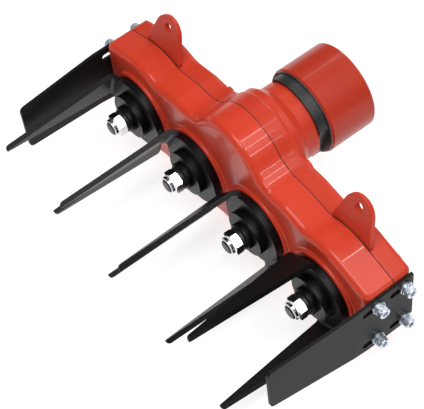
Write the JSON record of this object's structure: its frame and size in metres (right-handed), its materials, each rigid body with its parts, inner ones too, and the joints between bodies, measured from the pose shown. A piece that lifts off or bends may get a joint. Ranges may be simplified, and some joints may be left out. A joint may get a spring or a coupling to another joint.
{
  "type": "powered tine head",
  "caption": "Gear case with a row of coupled spindles that turn bent tine brackets, between two sliding side shields, with a round socket collar for a power unit",
  "frame": {"origin": "centre of the collar's mouth, on the input shaft's axis", "axes": "+X along the row of spindles, -Y the way the tines point, +Y out of the collar's mouth, +Z the side that the ears stand on"},
  "size_m": [0.37, 0.249, 0.1416],
  "materials": {
    "red_case": "gloss red paint on cast metal",
    "red_collar": "gloss red paint on steel tube",
    "black_rotor": "satin black paint",
    "black_shield": "satin charcoal paint",
    "black_ring": "black moulded plastic",
    "gasket": "matt",
    "seal": "matt",
    "nut_chrome": "bright plated",
    "zinc": "bright zinc plated",
    "washer_black": "black oxide",
    "steel": "ground steel",
    "gear_steel": "hobbed steel"
  },
  "bodies": {
    "case": {"case_base": "red_case", "case_cover": "red_case", "case_gasket": "gasket", "case_screws": "zinc", "shield_screws": "zinc", "shield_washers": "zinc", "shield_lock_washers": "zinc", "bearing_outer_rings": "steel", "bearing_balls": "steel", "shaft_seals": "seal", "collar": "red_collar", "steel_ring": "steel", "neck_ring": "black_ring", "neck_sleeve": "steel"},
    "drive": {"drive_shaft": "steel", "drive_pinion": "gear_steel", "drive_key": "steel", "drive_inner_rings": "steel", "drive_coupling": "steel", "coupling_pin": "steel", "drive_circlip": "steel"},
    "shield_left": {"shield_left": "black_shield"},
    "shield_right": {"shield_right": "black_shield"},
    "rotor_1": {"spindle_1_shaft": "steel", "spindle_1_gear": "gear_steel", "spindle_1_key": "steel", "spindle_1_inner_rings": "steel", "rotor_1_disc": "black_rotor", "rotor_1_tines": "black_rotor", "rotor_1_clamp": "black_rotor", "rotor_1_washer": "washer_black", "rotor_1_nut": "nut_chrome"},
    "rotor_2": {"spindle_2_shaft": "steel", "spindle_2_gear": "gear_steel", "spindle_2_key": "steel", "spindle_2_inner_rings": "steel", "rotor_2_disc": "black_rotor", "rotor_2_tines": "black_rotor", "rotor_2_clamp": "black_rotor", "rotor_2_washer": "washer_black", "rotor_2_nut": "nut_chrome"},
    "rotor_3": {"spindle_3_shaft": "steel", "spindle_3_gear": "gear_steel", "spindle_3_key": "steel", "spindle_3_inner_rings": "steel", "rotor_3_disc": "black_rotor", "rotor_3_tines": "black_rotor", "rotor_3_clamp": "black_rotor", "rotor_3_washer": "washer_black", "rotor_3_nut": "nut_chrome"},
    "rotor_4": {"spindle_4_shaft": "steel", "spindle_4_gear": "gear_steel", "spindle_4_key": "steel", "spindle_4_inner_rings": "steel", "rotor_4_disc": "black_rotor", "rotor_4_tines": "black_rotor", "rotor_4_clamp": "black_rotor", "rotor_4_washer": "washer_black", "rotor_4_nut": "nut_chrome"}
  },
  "joints": [
    {"name": "rotor_1_spin", "type": "hinge", "parent": "case", "child": "rotor_1", "pos_m": [-0.123, 0, -0.04243], "axis": [0, -1, 0], "continuous": true},
    {"name": "rotor_2_spin", "type": "hinge", "parent": "case", "child": "rotor_2", "pos_m": [-0.041, 0, -0.04243], "axis": [0, -1, 0], "continuous": true},
    {"name": "rotor_3_spin", "type": "hinge", "parent": "case", "child": "rotor_3", "pos_m": [0.041, 0, -0.04243], "axis": [0, -1, 0], "continuous": true},
    {"name": "rotor_4_spin", "type": "hinge", "parent": "case", "child": "rotor_4", "pos_m": [0.123, 0, -0.04243], "axis": [0, -1, 0], "continuous": true},
    {"name": "drive_spin", "type": "hinge", "parent": "case", "child": "drive", "pos_m": [0, 0, 0], "axis": [0, -1, 0], "continuous": true},
    {"name": "shield_left_slide", "type": "slide", "parent": "case", "child": "shield_left", "axis": [0, 1, 0], "range_m": [0, 0.012]},
    {"name": "shield_right_slide", "type": "slide", "parent": "case", "child": "shield_right", "axis": [0, 1, 0], "range_m": [0, 0.012]}
  ],
  "couplings": [
    {"joint": "rotor_1_spin", "follows": "rotor_2_spin", "ratio": -1},
    {"joint": "rotor_3_spin", "follows": "rotor_2_spin", "ratio": -1},
    {"joint": "rotor_4_spin", "follows": "rotor_2_spin", "ratio": 1},
    {"joint": "drive_spin", "follows": "rotor_2_spin", "ratio": -2.2778}
  ]
}
